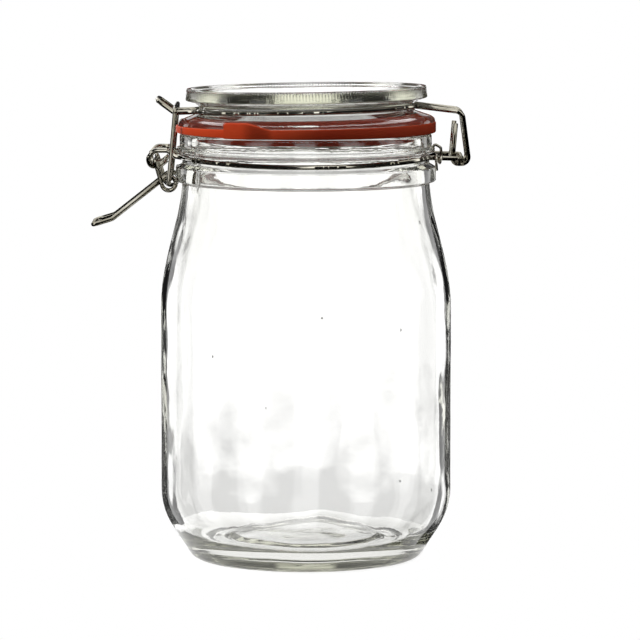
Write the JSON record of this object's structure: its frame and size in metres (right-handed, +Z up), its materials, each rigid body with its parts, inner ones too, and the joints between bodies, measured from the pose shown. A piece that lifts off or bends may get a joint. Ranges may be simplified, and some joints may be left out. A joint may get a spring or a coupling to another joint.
{
  "type": "clip top jar",
  "caption": "Empty glass preserving jar with a hinged glass lid, a rubber sealing ring with a pull tab, and a sprung wire clip that levers it shut.",
  "frame": {"origin": "on the surface that the jar stands on, under the middle of the whole object's box; the jar's own upright axis is 9.0 mm towards +X from it", "axes": "+Z up along the jar; +X towards the lid's hinge, with the clip on the -X side; +Y to the back, seen from the front view"},
  "size_m": [0.1379, 0.1062, 0.1723],
  "materials": {
    "clear_glass": "clear pressed glass, slightly wavy",
    "wire_steel": "drawn stainless wire, satin bright",
    "red_rubber": "matt orange-red rubber"
  },
  "bodies": {
    "jar": {"glass_jar": "clear_glass", "neck_wire": "wire_steel", "tie_wire": "wire_steel"},
    "lid": {"glass_lid": "clear_glass", "gasket": "red_rubber", "lid_wire": "wire_steel"},
    "lever": {"clip_lever": "wire_steel"},
    "link": {"clip_link": "wire_steel"}
  },
  "joints": [
    {"name": "lid_hinge", "type": "hinge", "parent": "jar", "child": "lid", "pos_m": [0.0654, 0, 0.1475], "axis": [0, 1, 0], "range_deg": [0, 105]},
    {"name": "lever_pivot", "type": "hinge", "parent": "jar", "child": "lever", "pos_m": [-0.0458, 0, 0.1471], "axis": [0, 1, 0], "range_deg": [0, 94.5]},
    {"name": "link_pivot", "type": "hinge", "parent": "lever", "child": "link", "pos_m": [-0.0407, 0, 0.1385], "axis": [0, -1, 0], "range_deg": [0, 99.75]}
  ],
  "couplings": [
    {"joint": "lever_pivot", "follows": "lid_hinge", "ratio": 0.9},
    {"joint": "link_pivot", "follows": "lid_hinge", "ratio": 0.95}
  ]
}
